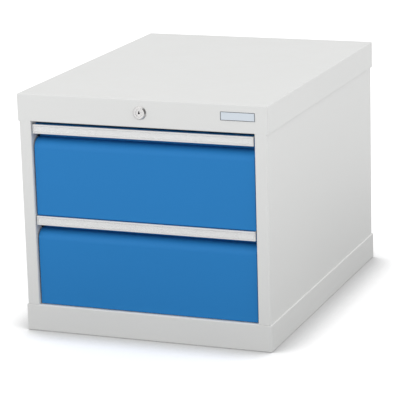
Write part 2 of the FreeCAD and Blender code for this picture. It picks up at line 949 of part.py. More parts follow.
def build():
    os.makedirs("parts", exist_ok=True)
    save("top_cover", top_cover())
    save_pair("side_panel", side_panel())
    save("back_panel", back_panel())
    save("base_plinth", base_plinth())
    save("bottom_pan", bottom_pan())
    save_pair("front_upright", upright(front_upright_y))
    save_pair("rear_upright", upright(rear_upright_y))
    save("name_plate", name_plate())

    rail_heights = []
    for name, (low_z, grip_z) in drawers.items():
        rail_z = low_z + tray_lift + rail_rise
        rail_heights.append(rail_z)
        save(name + "_drawer_front", drawer_front(low_z, grip_z))
        save(name + "_inner_front", inner_front(low_z, grip_z))
        save(name + "_tray", tray(low_z, grip_z))
        save(name + "_front_fixings", front_fixings(grip_z))
        save(name + "_grip", grip(grip_z))
        save(name + "_grip_caps", grip_caps(grip_z))
        save(name + "_label", label(grip_z))
        save(name + "_label_cover", label_cover(grip_z))
        save(name + "_catch", catch(low_z))
        save_pair(name + "_cabinet_rail", cabinet_rail(rail_z))
        save_pair(name + "_middle_rail", middle_rail(rail_z))
        save_pair(name + "_drawer_rail", drawer_rail(rail_z))
        save_both(name + "_outer_cages", outer_cage(rail_z))
        save_both(name + "_inner_cages", inner_cage(rail_z))
        save_both(name + "_divider_strips", divider_strip(low_z, grip_z))
    save("rail_buffers", rail_buffers(rail_heights))

    save("lock_housing", lock_housing())
    save("lock_nut", lock_nut())
    save("lock_plug", lock_plug())
    save("lock_cam", lock_cam())
    save("cam_screw", cam_screw())
    save("lock_slide", lock_slide())
    save("lock_slide_guides", slide_guides())
    save("lock_bar", lock_bar())
    save("lock_bar_guides", bar_guides())


build()
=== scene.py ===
import math

import bpy
from mathutils import Matrix, Vector


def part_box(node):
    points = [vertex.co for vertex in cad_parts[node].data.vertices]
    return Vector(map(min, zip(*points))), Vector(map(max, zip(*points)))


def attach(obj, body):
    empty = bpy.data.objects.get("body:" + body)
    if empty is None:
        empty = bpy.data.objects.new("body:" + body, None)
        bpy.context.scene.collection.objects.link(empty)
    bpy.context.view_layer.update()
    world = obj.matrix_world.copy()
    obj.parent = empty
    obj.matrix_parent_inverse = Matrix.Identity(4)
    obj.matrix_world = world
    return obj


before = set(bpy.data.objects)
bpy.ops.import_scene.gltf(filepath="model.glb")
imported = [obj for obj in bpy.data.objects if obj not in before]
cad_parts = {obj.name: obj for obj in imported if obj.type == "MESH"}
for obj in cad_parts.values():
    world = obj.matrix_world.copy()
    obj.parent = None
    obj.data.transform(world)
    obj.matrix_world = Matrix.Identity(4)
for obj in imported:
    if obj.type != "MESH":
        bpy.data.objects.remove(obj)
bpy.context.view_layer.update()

print("frame loaded:", len(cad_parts), "nodes")


# small helpers for node trees

def addNode(tree, kind, place, settings=None, inputs=None):
    made = tree.nodes.new(kind)
    made.location = place
    for name, value in (settings or {}).items():
        setattr(made, name, value)
    for name, value in (inputs or {}).items():
        made.inputs[name].default_value = value
    return made


def addMath(tree, place, operation, fixed=None, clamp=False):
    return addNode(tree, "ShaderNodeMath", place, {"operation": operation, "use_clamp": clamp}, fixed)


def addRamp(tree, place, start, end, low=0.0, high=1.0, curve="LINEAR"):
    return addNode(tree, "ShaderNodeMapRange", place, {"interpolation_type": curve}, {
        "From Min": start, "From Max": end, "To Min": low, "To Max": high})


def addSockets(group, direction, sockets):
    for name, kind, value in sockets:
        made = group.interface.new_socket(name=name, in_out=direction, socket_type=kind)
        if value is not None:
            made.default_value = value


def newGroup(name, inputs, outputs):
    group = bpy.data.node_groups.new(name, "ShaderNodeTree")
    addSockets(group, "INPUT", inputs)
    addSockets(group, "OUTPUT", [(name, kind, None) for name, kind in outputs])
    given = addNode(group, "NodeGroupInput", (-1200, 0))
    result = addNode(group, "NodeGroupOutput", (900, 0))
    return group, given, result


def newMaterial(name):
    material = bpy.data.materials.new(name)
    material.use_nodes = True
    tree = material.node_tree
    return material, tree, tree.nodes["Principled BSDF"]


def useGroup(tree, group, place, inputs):
    return addNode(tree, "ShaderNodeGroup", place, {"node_tree": group}, inputs)


# effects that several finishes share

# the part of a noise pattern's range that a finish follows
midNoise = (0.3, 0.7)
highNoise = (0.4, 0.8)

# a light rubbed line along outside edges, broken up by noise
rubShape = {"flat": 0.995, "sharp": 0.90, "patchFrom": 0.42, "patchFull": 0.62}


def makeEdgeRub():
    group, given, result = newGroup(
        "edgeRub",
        [("Radius", "NodeSocketFloat", 0.0012), ("Breaks", "NodeSocketFloat", 60.0),
         ("Amount", "NodeSocketFloat", 0.5)],
        [("Mask", "NodeSocketFloat"), ("Rounded", "NodeSocketVector")])
    link = group.links.new
    soft = addNode(group, "ShaderNodeBevel", (-900, 200), {"samples": 4})
    geometry = addNode(group, "ShaderNodeNewGeometry", (-900, -50))
    facing = addNode(group, "ShaderNodeVectorMath", (-650, 150), {"operation": "DOT_PRODUCT"})
    ramp = addRamp(group, (-400, 150), rubShape["flat"], rubShape["sharp"])
    coords = addNode(group, "ShaderNodeTexCoord", (-900, -300))
    noise = addNode(group, "ShaderNodeTexNoise", (-650, -250),
                    inputs={"Detail": 4.0, "Roughness": 0.65})
    patches = addRamp(group, (-400, -250), rubShape["patchFrom"], rubShape["patchFull"])
    both = addMath(group, (-100, 0), "MULTIPLY")
    scaled = addMath(group, (150, 0), "MULTIPLY", clamp=True)
    link(given.outputs["Radius"], soft.inputs["Radius"])
    link(soft.outputs["Normal"], facing.inputs[0])
    link(geometry.outputs["True Normal"], facing.inputs[1])
    link(facing.outputs["Value"], ramp.inputs["Value"])
    link(coords.outputs["Object"], noise.inputs["Vector"])
    link(given.outputs["Breaks"], noise.inputs["Scale"])
    link(noise.outputs["Fac"], patches.inputs["Value"])
    link(ramp.outputs["Result"], both.inputs[0])
    link(patches.outputs["Result"], both.inputs[1])
    link(both.outputs["Value"], scaled.inputs[0])
    link(given.outputs["Amount"], scaled.inputs[1])
    link(scaled.outputs["Value"], result.inputs["Mask"])
    link(soft.outputs["Normal"], result.inputs["Rounded"])
    return group


# fine dust that settles on faces that look up
dustShape = {"sloped": 0.6, "level": 0.98, "patchFrom": 0.35, "patchFull": 0.75}


def makeDust():
    group, given, result = newGroup(
        "restingDust",
        [("Size", "NodeSocketFloat", 22.0), ("Amount", "NodeSocketFloat", 0.1)],
        [("Mask", "NodeSocketFloat")])
    link = group.links.new
    geometry = addNode(group, "ShaderNodeNewGeometry", (-900, 100))
    split = addNode(group, "ShaderNodeSeparateXYZ", (-700, 100))
    upward = addRamp(group, (-500, 100), dustShape["sloped"], dustShape["level"])
    coords = addNode(group, "ShaderNodeTexCoord", (-900, -200))
    noise = addNode(group, "ShaderNodeTexNoise", (-700, -200),
                    inputs={"Detail": 8.0, "Roughness": 0.7})
    patches = addRamp(group, (-500, -200), dustShape["patchFrom"], dustShape["patchFull"])
    both = addMath(group, (-200, 0), "MULTIPLY")
    scaled = addMath(group, (50, 0), "MULTIPLY", clamp=True)
    link(geometry.outputs["Normal"], split.inputs["Vector"])
    link(split.outputs["Z"], upward.inputs["Value"])
    link(coords.outputs["Object"], noise.inputs["Vector"])
    link(given.outputs["Size"], noise.inputs["Scale"])
    link(noise.outputs["Fac"], patches.inputs["Value"])
    link(upward.outputs["Result"], both.inputs[0])
    link(patches.outputs["Result"], both.inputs[1])
    link(both.outputs["Value"], scaled.inputs[0])
    link(given.outputs["Amount"], scaled.inputs[1])
    link(scaled.outputs["Value"], result.inputs["Mask"])
    return group


# baked powder coat: slight mottling of the colour and an orange-peel skin
coatShape = {"cloudSize": 5.0, "grainSize": 2600.0, "grainShare": 0.25, "glossSwing": 0.05}


def makePowderCoat():
    group, given, result = newGroup(
        "powderCoat",
        [("Colour", "NodeSocketColor", (0.7, 0.7, 0.7, 1)), ("Mottle", "NodeSocketFloat", 0.02),
         ("Roughness", "NodeSocketFloat", 0.42), ("Peel Size", "NodeSocketFloat", 480.0)],
        [("Colour", "NodeSocketColor"), ("Roughness", "NodeSocketFloat"),
         ("Height", "NodeSocketFloat")])
    link = group.links.new
    coords = addNode(group, "ShaderNodeTexCoord", (-1200, -300))
    cloud = addNode(group, "ShaderNodeTexNoise", (-900, 200),
                    inputs={"Scale": coatShape["cloudSize"], "Detail": 5.0, "Roughness": 0.6})
    centred = addMath(group, (-700, 200), "SUBTRACT", {1: 0.5})
    swing = addMath(group, (-500, 200), "MULTIPLY")
    level = addMath(group, (-300, 200), "ADD", {1: 1.0})
    tinted = addNode(group, "ShaderNodeVectorMath", (-100, 250), {"operation": "SCALE"})
    fine = addNode(group, "ShaderNodeTexNoise", (-900, -150),
                   inputs={"Detail": 2.0, "Roughness": 0.5})
    grain = addNode(group, "ShaderNodeTexNoise", (-900, -400),
                    inputs={"Scale": coatShape["grainSize"], "Detail": 1.0})
    skin = addMath(group, (-500, -250), "MULTIPLY_ADD", {1: coatShape["grainShare"]})
    satin = addRamp(group, (-500, 0), *midNoise, -coatShape["glossSwing"], coatShape["glossSwing"])
    gloss = addMath(group, (-200, 0), "ADD", clamp=True)
    for noise in (cloud, fine, grain):
        link(coords.outputs["Object"], noise.inputs["Vector"])
    link(given.outputs["Peel Size"], fine.inputs["Scale"])
    link(cloud.outputs["Fac"], centred.inputs[0])
    link(centred.outputs["Value"], swing.inputs[0])
    link(given.outputs["Mottle"], swing.inputs[1])
    link(swing.outputs["Value"], level.inputs[0])
    link(given.outputs["Colour"], tinted.inputs["Vector"])
    link(level.outputs["Value"], tinted.inputs["Scale"])
    link(grain.outputs["Fac"], skin.inputs[0])
    link(fine.outputs["Fac"], skin.inputs[2])
    link(cloud.outputs["Fac"], satin.inputs["Value"])
    link(satin.outputs["Result"], gloss.inputs[0])
    link(given.outputs["Roughness"], gloss.inputs[1])
    link(tinted.outputs["Vector"], result.inputs["Colour"])
    link(gloss.outputs["Value"], result.inputs["Roughness"])
    link(skin.outputs["Value"], result.inputs["Height"])
    return group


# drawn or rolled metal: long fine lines along one direction, and cloudy patches
drawnShape = {"lineSize": 30.0, "patchSize": 28.0, "smoother": -0.07, "rougher": 0.09}


def makeDrawnGrain():
    group, given, result = newGroup(
        "drawnGrain",
        [("Colour", "NodeSocketColor", (0.7, 0.7, 0.7, 1)),
         ("Patch Colour", "NodeSocketColor", (0.6, 0.6, 0.65, 1)),
         ("Stretch", "NodeSocketVector", (1.0, 40.0, 40.0)), ("Roughness", "NodeSocketFloat", 0.3)],
        [("Colour", "NodeSocketColor"), ("Roughness", "NodeSocketFloat"),
         ("Height", "NodeSocketFloat")])
    link = group.links.new
    coords = addNode(group, "ShaderNodeTexCoord", (-1200, -300))
    stretched = addNode(group, "ShaderNodeVectorMath", (-950, -200), {"operation": "MULTIPLY"})
    lines = addNode(group, "ShaderNodeTexNoise", (-700, -200),
                    inputs={"Scale": drawnShape["lineSize"], "Detail": 6.0, "Roughness": 0.7})
    patches = addNode(group, "ShaderNodeTexNoise", (-700, 150),
                      inputs={"Scale": drawnShape["patchSize"], "Detail": 3.0})
    blend = addNode(group, "ShaderNodeMix", (-300, 200), {"data_type": "RGBA"})
    satin = addRamp(group, (-400, -100), *midNoise, drawnShape["smoother"], drawnShape["rougher"])
    gloss = addMath(group, (-100, -100), "ADD", clamp=True)
    link(coords.outputs["Object"], stretched.inputs[0])
    link(given.outputs["Stretch"], stretched.inputs[1])
    link(stretched.outputs["Vector"], lines.inputs["Vector"])
    link(coords.outputs["Object"], patches.inputs["Vector"])
    link(patches.outputs["Fac"], blend.inputs["Factor"])
    link(given.outputs["Colour"], blend.inputs["A"])
    link(given.outputs["Patch Colour"], blend.inputs["B"])
    link(lines.outputs["Fac"], satin.inputs["Value"])
    link(satin.outputs["Result"], gloss.inputs[0])
    link(given.outputs["Roughness"], gloss.inputs[1])
    link(blend.outputs["Result"], result.inputs["Colour"])
    link(gloss.outputs["Value"], result.inputs["Roughness"])
    link(lines.outputs["Fac"], result.inputs["Height"])
    return group


edgeRub = makeEdgeRub()
restingDust = makeDust()
powderCoat = makePowderCoat()
drawnGrain = makeDrawnGrain()
print("shared effects ready")


# finishes

cabinetPaint = {
    "colour": (0.745, 0.748, 0.735, 1), "edge": (0.86, 0.86, 0.85, 1), "mottle": 0.03,
    "roughness": 0.45, "peel": 420.0, "wear": 0.25, "dust": 0.10, "shine": 0.35}
frontPaint = {
    "colour": (0.023, 0.210, 0.532, 1), "edge": (0.10, 0.30, 0.60, 1), "mottle": 0.04,
    "roughness": 0.48, "peel": 420.0, "wear": 0.20, "dust": 0.01, "shine": 0.12}
gripCoat = {
    "colour": (0.760, 0.762, 0.755, 1), "edge": (0.86, 0.86, 0.85, 1), "mottle": 0.02,
    "roughness": 0.40, "peel": 600.0, "wear": 0.15, "dust": 0.05, "shine": 0.40}
trayPaint = {
    "colour": (0.60, 0.61, 0.60, 1), "edge": (0.72, 0.72, 0.71, 1), "mottle": 0.04,
    "roughness": 0.50, "peel": 380.0, "wear": 0.45, "dust": 0.15, "shine": 0.40}

# what all coats share, lengths in metres
coatWear = {
    "edgeRadius": 0.0005, "edgeBreaks": 70.0, "peelStrength": 0.12, "peelDepth": 0.0002,
    "dustSize": 24.0, "dustColour": (0.62, 0.60, 0.56, 1)}


def coatMaterial(name, look):
    material, tree, shader = newMaterial(name)
    link = tree.links.new
    coat = useGroup(tree, powderCoat, (-900, 200), {
        "Colour": look["colour"], "Mottle": look["mottle"],
        "Roughness": look["roughness"], "Peel Size": look["peel"]})
    rub = useGroup(tree, edgeRub, (-900, -100), {
        "Radius": coatWear["edgeRadius"], "Breaks": coatWear["edgeBreaks"], "Amount": look["wear"]})
    dust = useGroup(tree, restingDust, (-900, -350), {
        "Size": coatWear["dustSize"], "Amount": look["dust"]})
    rubbed = addNode(tree, "ShaderNodeMix", (-600, 200), {"data_type": "RGBA"})
    rubbed.inputs["B"].default_value = look["edge"]
    dusty = addNode(tree, "ShaderNodeMix", (-400, 200), {"data_type": "RGBA"})
    dusty.inputs["B"].default_value = coatWear["dustColour"]
    peel = addNode(tree, "ShaderNodeBump", (-400, -200),
                   inputs={"Strength": coatWear["peelStrength"], "Distance": coatWear["peelDepth"]})
    link(rub.outputs["Mask"], rubbed.inputs["Factor"])
    link(coat.outputs["Colour"], rubbed.inputs["A"])
    link(dust.outputs["Mask"], dusty.inputs["Factor"])
    link(rubbed.outputs["Result"], dusty.inputs["A"])
    link(dusty.outputs["Result"], shader.inputs["Base Color"])
    link(coat.outputs["Roughness"], shader.inputs["Roughness"])
    link(coat.outputs["Height"], peel.inputs["Height"])
    link(rub.outputs["Rounded"], peel.inputs["Normal"])
    link(peel.outputs["Normal"], shader.inputs["Normal"])
    shader.inputs["Specular IOR Level"].default_value = look["shine"]
    return material


zincPlate = {
    "colour": (0.62, 0.63, 0.65, 1), "patch": (0.70, 0.68, 0.60, 1), "stretch": (30.0, 1.0, 30.0),
    "roughness": 0.30, "bump": 0.05}
cageSteel = {
    "colour": (0.50, 0.48, 0.42, 1), "patch": (0.40, 0.39, 0.37, 1), "stretch": (30.0, 1.0, 30.0),
    "roughness": 0.34, "bump": 0.04}
lockNickel = {
    "colour": (0.80, 0.79, 0.78, 1), "patch": (0.74, 0.73, 0.72, 1), "stretch": (12.0, 1.0, 12.0),
    "roughness": 0.28, "bump": 0.03}
# the plug's finish carries painted shade: black, not metallic, deeper than a set depth into the keyhole
plugNickel = dict(lockNickel, dark=(0.004, 0.004, 0.004, 1), shadeFrom=-0.3694, shadeOver=0.0002)

# what all metals share, lengths in metres
metalWear = {
    "edgeRadius": 0.0005, "edgeBreaks": 200.0, "wear": 0.5, "edge": (0.88, 0.88, 0.87, 1),
    "lineDepth": 0.0001}


# the keyhole's walls are painted black a little way in: painted shade deep inside the hole, with the
# metal's shine turned off there
def paintKeyholeShade(tree, shader, metal, look):
    coords = addNode(tree, "ShaderNodeTexCoord", (-900, 500))
    split = addNode(tree, "ShaderNodeSeparateXYZ", (-700, 500))
    depth = addRamp(tree, (-500, 500), look["shadeFrom"], look["shadeFrom"] + look["shadeOver"])
    shine = addMath(tree, (-300, 600), "SUBTRACT", {0: 1.0})
    black = addNode(tree, "ShaderNodeMix", (-300, 350), {"data_type": "RGBA"})
    black.inputs["B"].default_value = look["dark"]
    tree.links.new(coords.outputs["Object"], split.inputs["Vector"])
    tree.links.new(split.outputs["Y"], depth.inputs["Value"])
    tree.links.new(depth.outputs["Result"], shine.inputs[1])
    tree.links.new(depth.outputs["Result"], black.inputs["Factor"])
    tree.links.new(metal.outputs["Result"], black.inputs["A"])
    tree.links.new(black.outputs["Result"], shader.inputs["Base Color"])
    tree.links.new(shine.outputs["Value"], shader.inputs["Metallic"])
    shader.inputs["Specular IOR Level"].default_value = 0.0


def metalMaterial(name, look):
    material, tree, shader = newMaterial(name)
    link = tree.links.new
    grain = useGroup(tree, drawnGrain, (-900, 200), {
        "Colour": look["colour"], "Patch Colour": look["patch"],
        "Stretch": look["stretch"], "Roughness": look["roughness"]})
    rub = useGroup(tree, edgeRub, (-900, -100), {
        "Radius": metalWear["edgeRadius"], "Breaks": metalWear["edgeBreaks"],
        "Amount": metalWear["wear"]})
    bright = addNode(tree, "ShaderNodeMix", (-500, 200), {"data_type": "RGBA"})
    bright.inputs["B"].default_value = metalWear["edge"]
    lines = addNode(tree, "ShaderNodeBump", (-500, -200),
                    inputs={"Strength": look["bump"], "Distance": metalWear["lineDepth"]})
    link(rub.outputs["Mask"], bright.inputs["Factor"])
    link(grain.outputs["Colour"], bright.inputs["A"])
    link(bright.outputs["Result"], shader.inputs["Base Color"])
    link(grain.outputs["Roughness"], shader.inputs["Roughness"])
    link(grain.outputs["Height"], lines.inputs["Height"])
    link(rub.outputs["Rounded"], lines.inputs["Normal"])
    link(lines.outputs["Normal"], shader.inputs["Normal"])
    shader.inputs["Metallic"].default_value = 1.0
    if "shadeFrom" in look:
        paintKeyholeShade(tree, shader, bright, look)
    return material


capPlastic = {"colour": (0.70, 0.70, 0.69, 1), "roughness": 0.48, "grain": 900.0, "contrast": 0.04}
bufferRubber = {"colour": (0.022, 0.022, 0.023, 1), "roughness": 0.75, "grain": 600.0, "contrast": 0.10}
labelCard = {"colour": (0.80, 0.80, 0.79, 1), "roughness": 0.80, "grain": 1500.0, "contrast": 0.008}
grainSkin = {"glossSwing": 0.08, "strength": 0.2, "depth": 0.0001}


def grainedMaterial(name, look):
    material, tree, shader = newMaterial(name)
    link = tree.links.new
    coords = addNode(tree, "ShaderNodeTexCoord", (-1100, 0))
    grain = addNode(tree, "ShaderNodeTexNoise", (-900, 0),
                    inputs={"Scale": look["grain"], "Detail": 3.0})
    tone = addRamp(tree, (-700, 150), 0.0, 1.0, 1 - look["contrast"], 1 + look["contrast"])
    colour = addNode(tree, "ShaderNodeVectorMath", (-500, 200), {"operation": "SCALE"})
    colour.inputs[0].default_value = look["colour"][:3]
    swing = grainSkin["glossSwing"]
    satin = addRamp(tree, (-500, 0), 0.0, 1.0, look["roughness"] - swing, look["roughness"] + swing)
    bump = addNode(tree, "ShaderNodeBump", (-500, -200),
                   inputs={"Strength": grainSkin["strength"], "Distance": grainSkin["depth"]})
    link(coords.outputs["Object"], grain.inputs["Vector"])
    link(grain.outputs["Fac"], tone.inputs["Value"])
    link(tone.outputs["Result"], colour.inputs["Scale"])
    link(colour.outputs["Vector"], shader.inputs["Base Color"])
    link(grain.outputs["Fac"], satin.inputs["Value"])
    link(satin.outputs["Result"], shader.inputs["Roughness"])
    link(grain.outputs["Fac"], bump.inputs["Height"])
    link(bump.outputs["Normal"], shader.inputs["Normal"])
    return material


# clear strip over the label: nearly all see-through, with faint scuffs
coverStrip = {
    "colour": (0.92, 0.93, 0.94, 1), "alpha": 0.10, "veil": 0.008, "scuffs": 160.0,
    "clean": 0.08, "scuffed": 0.30}


def clearMaterial(name, look):
    material, tree, shader = newMaterial(name)
    link = tree.links.new
    coords = addNode(tree, "ShaderNodeTexCoord", (-1100, 0))
    scuffs = addNode(tree, "ShaderNodeTexNoise", (-900, 0),
                     inputs={"Scale": look["scuffs"], "Detail": 6.0})
    satin = addRamp(tree, (-600, 0), *highNoise, look["clean"], look["scuffed"])
    veil = addRamp(tree, (-600, -250), *highNoise, look["alpha"], look["alpha"] + look["veil"])
    link(coords.outputs["Object"], scuffs.inputs["Vector"])
    link(scuffs.outputs["Fac"], satin.inputs["Value"])
    link(scuffs.outputs["Fac"], veil.inputs["Value"])
    link(satin.outputs["Result"], shader.inputs["Roughness"])
    link(veil.outputs["Result"], shader.inputs["Alpha"])
    shader.inputs["Base Color"].default_value = look["colour"]
    return material


# the plate: a dark printed edge round a bare pale field that lies a little deeper
namePlate = {
    "edge": (0.05, 0.05, 0.06, 1), "field": (0.66, 0.72, 0.78, 1), "fieldFrom": -0.3666,
    "foilSize": 300.0, "smooth": 0.28, "dull": 0.42}


def plateMaterial(name, look):
    material, tree, shader = newMaterial(name)
    link = tree.links.new
    coords = addNode(tree, "ShaderNodeTexCoord", (-1100, 0))
    split = addNode(tree, "ShaderNodeSeparateXYZ", (-900, 100))
    isField = addMath(tree, (-700, 100), "GREATER_THAN", {1: look["fieldFrom"]})
    colour = addNode(tree, "ShaderNodeMix", (-400, 100), {"data_type": "RGBA"})
    colour.inputs["A"].default_value = look["edge"]
    colour.inputs["B"].default_value = look["field"]
    foil = addNode(tree, "ShaderNodeTexNoise", (-900, -200),
                   inputs={"Scale": look["foilSize"], "Detail": 2.0})
    satin = addRamp(tree, (-600, -200), 0.0, 1.0, look["smooth"], look["dull"])
    link(coords.outputs["Object"], split.inputs["Vector"])
    link(split.outputs["Y"], isField.inputs[0])
    link(isField.outputs["Value"], colour.inputs["Factor"])
    link(colour.outputs["Result"], shader.inputs["Base Color"])
    link(coords.outputs["Object"], foil.inputs["Vector"])
    link(foil.outputs["Fac"], satin.inputs["Value"])
    link(satin.outputs["Result"], shader.inputs["Roughness"])
    return material


cabinetGrey = coatMaterial("cabinetGrey", cabinetPaint)
frontBlue = coatMaterial("frontBlue", frontPaint)
trayGrey = coatMaterial("trayGrey", trayPaint)
zinc = metalMaterial("zincPlatedSteel", zincPlate)
oiledSteel = metalMaterial("oiledCageSteel", cageSteel)
gripGrey = coatMaterial("gripGrey", gripCoat)
nickel = metalMaterial("lockNickel", lockNickel)
plugFace = metalMaterial("plugNickel", plugNickel)
plastic = grainedMaterial("greyCapPlastic", capPlastic)
rubber = grainedMaterial("blackRubber", bufferRubber)
card = grainedMaterial("labelCard", labelCard)
clearPlastic = clearMaterial("clearStrip", coverStrip)
plate = plateMaterial("namePlate", namePlate)

# the first words that a node's name holds decide its finish
finishByWords = [
    ("name_plate", plate), ("label_cover", clearPlastic), ("label", card), ("grip_caps", plastic),
    ("grip", gripGrey), ("drawer_front", frontBlue), ("inner_front", frontBlue), ("tray", trayGrey),
    ("divider", trayGrey), ("cages", oiledSteel), ("buffers", rubber), ("housing", nickel),
    ("lock_plug", plugFace), ("rail", zinc), ("fixings", zinc), ("catch", zinc), ("lock", zinc),
    ("cam", zinc), ("", cabinetGrey),
]


def dressNodes():
    for name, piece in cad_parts.items():
        finish = next(finish for words, finish in finishByWords if words in name)
        piece.data.materials.clear()
        piece.data.materials.append(finish)


dressNodes()
print("finishes on all nodes")


# round pieces in rows: balls of the slides and heads of the rivets

# a grid of domes or balls, each a little different in size; a dome may stand on a flat collar
collarShape = {"sides": 20, "depth": 0.5}


def makeGridOfRounds():
    tree = bpy.data.node_groups.new("gridOfRounds", "GeometryNodeTree")
    addSockets(tree, "INPUT", [
        ("Start", "NodeSocketVector", None), ("Step", "NodeSocketVector", None),
        ("Along X", "NodeSocketInt", 1), ("Along Y", "NodeSocketInt", 1),
        ("Along Z", "NodeSocketInt", 1), ("Size", "NodeSocketVector", None),
        ("Turn", "NodeSocketVector", None), ("Collar", "NodeSocketBool", False),
        ("Dome Width", "NodeSocketFloat", 1.0), ("Variation", "NodeSocketFloat", 0.0),
        ("Fineness", "NodeSocketInt", 2), ("Seed", "NodeSocketInt", 1),
        ("Finish", "NodeSocketMaterial", None)])
    addSockets(tree, "OUTPUT", [("Geometry", "NodeSocketGeometry", None)])
    link = tree.links.new
    given = addNode(tree, "NodeGroupInput", (-1600, 0))
    result = addNode(tree, "NodeGroupOutput", (1100, 0))

    # how many, and where each one stands in the grid
    layer = addNode(tree, "FunctionNodeIntegerMath", (-1300, 300), {"operation": "MULTIPLY"})
    count = addNode(tree, "FunctionNodeIntegerMath", (-1100, 300), {"operation": "MULTIPLY"})
    index = addNode(tree, "GeometryNodeInputIndex", (-1300, -100))
    inX = addNode(tree, "FunctionNodeIntegerMath", (-1100, 0), {"operation": "MODULO"})
    rest = addNode(tree, "FunctionNodeIntegerMath", (-1100, -150), {"operation": "DIVIDE_FLOOR"})
    inY = addNode(tree, "FunctionNodeIntegerMath", (-900, -100), {"operation": "MODULO"})
    inZ = addNode(tree, "FunctionNodeIntegerMath", (-900, -250), {"operation": "DIVIDE_FLOOR"})
    cell = addNode(tree, "ShaderNodeCombineXYZ", (-700, -100))
    place = addNode(tree, "ShaderNodeVectorMath", (-500, -100), {"operation": "MULTIPLY_ADD"})
    spots = addNode(tree, "GeometryNodePoints", (-300, 200))
    link(given.outputs["Along X"], layer.inputs[0])
    link(given.outputs["Along Y"], layer.inputs[1])
    link(layer.outputs[0], count.inputs[0])
    link(given.outputs["Along Z"], count.inputs[1])
    for whole, part, share in ((index, "Along X", inX), (index, "Along X", rest),
                               (rest, "Along Y", inY), (rest, "Along Y", inZ)):
        link(whole.outputs[0], share.inputs[0])
        link(given.outputs[part], share.inputs[1])
    for axis, number in (("X", inX), ("Y", inY), ("Z", inZ)):
        link(number.outputs[0], cell.inputs[axis])
    link(cell.outputs["Vector"], place.inputs[0])
    link(given.outputs["Step"], place.inputs[1])
    link(given.outputs["Start"], place.inputs[2])
    link(count.outputs[0], spots.inputs["Count"])
    link(place.outputs["Vector"], spots.inputs["Position"])

    # one head: a dome, with its collar where there is one
    ball = addNode(tree, "GeometryNodeMeshIcoSphere", (-900, -500), inputs={"Radius": 1.0})
    width = addNode(tree, "ShaderNodeCombineXYZ", (-900, -700), inputs={"Z": 1.0})
    dome = addNode(tree, "GeometryNodeTransform", (-700, -500))
    disc = addNode(tree, "GeometryNodeMeshCylinder", (-900, -900),
                   inputs={"Vertices": collarShape["sides"], "Radius": 1.0,
                           "Depth": collarShape["depth"]})
    collar = addNode(tree, "GeometryNodeSwitch", (-700, -850), {"input_type": "GEOMETRY"})
    head = addNode(tree, "GeometryNodeJoinGeometry", (-500, -600))
    link(given.outputs["Fineness"], ball.inputs["Subdivisions"])
    link(given.outputs["Dome Width"], width.inputs["X"])
    link(given.outputs["Dome Width"], width.inputs["Y"])
    link(ball.outputs["Mesh"], dome.inputs["Geometry"])
    link(width.outputs["Vector"], dome.inputs["Scale"])
    link(given.outputs["Collar"], collar.inputs["Switch"])
    link(disc.outputs["Mesh"], collar.inputs["True"])
    link(dome.outputs["Geometry"], head.inputs["Geometry"])
    link(collar.outputs["Output"], head.inputs["Geometry"])

    # slightly different sizes from a fixed seed
    low = addMath(tree, (-700, 500), "SUBTRACT", {0: 1.0})
    high = addMath(tree, (-700, 650), "ADD", {0: 1.0})
    factor = addNode(tree, "FunctionNodeRandomValue", (-500, 550), {"data_type": "FLOAT"})
    scale = addNode(tree, "ShaderNodeVectorMath", (-300, 500), {"operation": "SCALE"})
    turned = addNode(tree, "FunctionNodeEulerToRotation", (-300, -300))
    copies = addNode(tree, "GeometryNodeInstanceOnPoints", (0, 0))
    solid = addNode(tree, "GeometryNodeRealizeInstances", (250, 0))
    smooth = addNode(tree, "GeometryNodeSetShadeSmooth", (500, 0))
    finished = addNode(tree, "GeometryNodeSetMaterial", (800, 0))
    link(given.outputs["Variation"], low.inputs[1])
    link(given.outputs["Variation"], high.inputs[1])
    link(low.outputs["Value"], factor.inputs[2])
    link(high.outputs["Value"], factor.inputs[3])
    link(given.outputs["Seed"], factor.inputs["Seed"])
    link(given.outputs["Size"], scale.inputs["Vector"])
    link(factor.outputs[1], scale.inputs["Scale"])
    link(given.outputs["Turn"], turned.inputs["Euler"])
    link(spots.outputs["Points"], copies.inputs["Points"])
    link(head.outputs["Geometry"], copies.inputs["Instance"])
    link(turned.outputs["Rotation"], copies.inputs["Rotation"])
    link(scale.outputs["Vector"], copies.inputs["Scale"])
    link(copies.outputs["Instances"], solid.inputs["Geometry"])
    link(solid.outputs["Geometry"], smooth.inputs["Geometry"])
    link(smooth.outputs["Geometry"], finished.inputs["Geometry"])
    link(given.outputs["Finish"], finished.inputs["Material"])
    link(finished.outputs["Geometry"], result.inputs["Geometry"])
    return tree


gridOfRounds = makeGridOfRounds()


def bakeRounds(name, body, values):
    host = bpy.data.objects.new(name, bpy.data.meshes.new(name))
    bpy.context.scene.collection.objects.link(host)
    maker = host.modifiers.new("rounds", "NODES")
    maker.node_group = gridOfRounds
    for item in gridOfRounds.interface.items_tree:
        if item.in_out == "INPUT" and item.name in values:
            maker[item.identifier] = values[item.name]
    evaluated = host.evaluated_get(bpy.context.evaluated_depsgraph_get())
    baked = bpy.data.meshes.new_from_object(evaluated)
    host.modifiers.remove(maker)
    empty = host.data
    host.data = baked
    bpy.data.meshes.remove(empty)
    baked.name = name
    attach(host, body)


ballSteel = {
    "colour": (0.80, 0.80, 0.82, 1), "patch": (0.70, 0.69, 0.66, 1), "stretch": (1.0, 1.0, 1.0),
    "roughness": 0.14, "bump": 0.01}

# three balls in each row, in two rows, on the left and on the right
slideBalls = {
    "radius": 0.0022, "pitch": 0.110, "outerInset": 0.0077, "innerInset": 0.0056,
    "fromEdge": 0.0005, "fineness": 3, "seed": 3}


